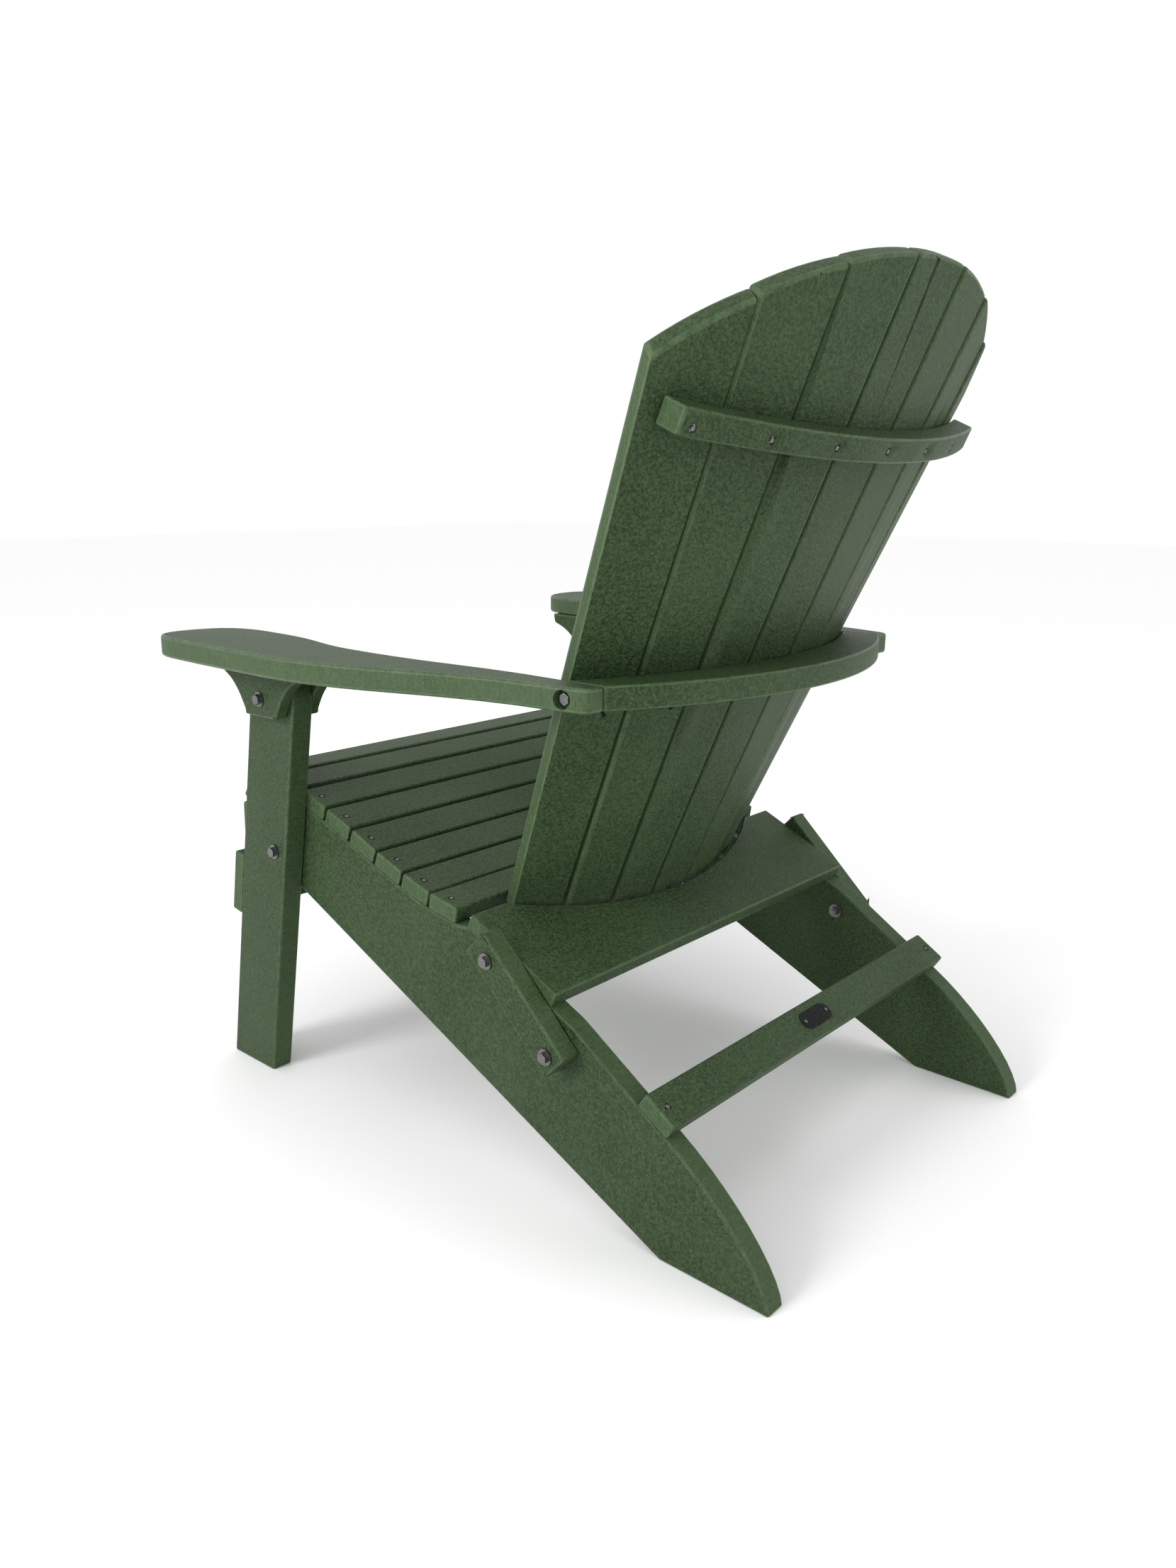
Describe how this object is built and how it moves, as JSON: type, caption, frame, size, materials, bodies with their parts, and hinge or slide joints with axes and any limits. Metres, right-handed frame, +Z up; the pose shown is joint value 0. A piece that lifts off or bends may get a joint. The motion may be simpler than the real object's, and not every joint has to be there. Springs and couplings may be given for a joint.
{
  "type": "folding adirondack chair",
  "caption": "Folding adirondack garden chair: fanned slat back, sloping slat seat on two rails, broad arms on hinged front legs and a linkage that folds the back over the seat.",
  "frame": {"origin": "on the floor, at the middle of the footprint box", "axes": "+Z up, the chair faces -Y, +X is the sitter's left"},
  "size_m": [0.7806, 0.84, 0.9618],
  "materials": {
    "green_lumber": "matte, fine pebble grain, dark green recycled plastic lumber",
    "arm_lumber": "satin, worn smooth on the flats, dark green recycled plastic lumber",
    "fastener_steel": "dull stainless steel",
    "badge_black": "gloss black, blank"
  },
  "bodies": {
    "seat_frame": {"left_seat_rail": "green_lumber", "right_seat_rail": "green_lumber", "seat_slat_1": "green_lumber", "seat_slat_2": "green_lumber", "seat_slat_3": "green_lumber", "seat_slat_4": "green_lumber", "seat_slat_5": "green_lumber", "seat_slat_6": "green_lumber", "seat_slat_7": "green_lumber", "seat_slat_8": "green_lumber", "nose_slat": "green_lumber", "front_rail_slat": "green_lumber", "rear_bar": "green_lumber", "badge_plate": "badge_black", "badge_rivets": "fastener_steel", "seat_screws": "fastener_steel", "rail_end_screws": "fastener_steel", "leg_pivot_bolts": "fastener_steel", "leg_pivot_nuts": "fastener_steel", "link_lower_bolts": "fastener_steel", "link_lower_nuts": "fastener_steel"},
    "front_legs": {"left_front_leg": "green_lumber", "right_front_leg": "green_lumber", "front_apron": "green_lumber", "apron_screws": "fastener_steel", "bracket_sleeves": "fastener_steel"},
    "left_arm": {"left_arm": "arm_lumber", "left_outer_bracket": "green_lumber", "left_inner_bracket": "green_lumber", "left_bracket_bolt": "fastener_steel", "left_bracket_nut": "fastener_steel", "left_bracket_screws": "fastener_steel"},
    "right_arm": {"right_arm": "arm_lumber", "right_outer_bracket": "green_lumber", "right_inner_bracket": "green_lumber", "right_bracket_bolt": "fastener_steel", "right_bracket_nut": "fastener_steel", "right_bracket_screws": "fastener_steel"},
    "back": {"back_slat_1": "green_lumber", "back_slat_2": "green_lumber", "back_slat_3": "green_lumber", "back_slat_4": "green_lumber", "back_slat_5": "green_lumber", "back_slat_6": "green_lumber", "back_slat_7": "green_lumber", "lower_crosspiece": "green_lumber", "arm_crosspiece": "green_lumber", "top_rail": "green_lumber", "top_rail_screws": "fastener_steel", "arm_level_screws": "fastener_steel", "lower_back_screws": "fastener_steel", "arm_pivot_bolts": "fastener_steel", "link_upper_bolts": "fastener_steel"},
    "left_link": {"left_link": "green_lumber"},
    "right_link": {"right_link": "green_lumber"}
  },
  "joints": [
    {"name": "back_fold", "type": "hinge", "parent": "left_link", "child": "back", "pos_m": [0.298, 0.07514, 0.26708], "axis": [1, 0, 0], "range_deg": [0, 154]},
    {"name": "left_link_swing", "type": "hinge", "parent": "seat_frame", "child": "left_link", "pos_m": [0.298, 0.16, 0.187], "axis": [1, 0, 0], "range_deg": [-75, 0]},
    {"name": "right_link_swing", "type": "hinge", "parent": "seat_frame", "child": "right_link", "pos_m": [-0.298, 0.16, 0.187], "axis": [1, 0, 0], "range_deg": [-75, 0]},
    {"name": "left_arm_swing", "type": "hinge", "parent": "back", "child": "left_arm", "pos_m": [0.2765, 0.16802, 0.5525], "axis": [1, 0, 0], "range_deg": [-72.44, 0]},
    {"name": "right_arm_swing", "type": "hinge", "parent": "back", "child": "right_arm", "pos_m": [-0.2765, 0.16802, 0.5525], "axis": [1, 0, 0], "range_deg": [-72.44, 0]},
    {"name": "front_leg_fold", "type": "hinge", "parent": "seat_frame", "child": "front_legs", "pos_m": [0, -0.2963, 0.30799], "axis": [1, 0, 0], "range_deg": [0, 86.43]}
  ],
  "couplings": [
    {"joint": "left_link_swing", "follows": "back_fold", "ratio": -0.48701},
    {"joint": "right_link_swing", "follows": "back_fold", "ratio": -0.48701},
    {"joint": "left_arm_swing", "follows": "back_fold", "ratio": -0.47039},
    {"joint": "right_arm_swing", "follows": "back_fold", "ratio": -0.47039},
    {"joint": "front_leg_fold", "follows": "back_fold", "ratio": 0.56123}
  ]
}
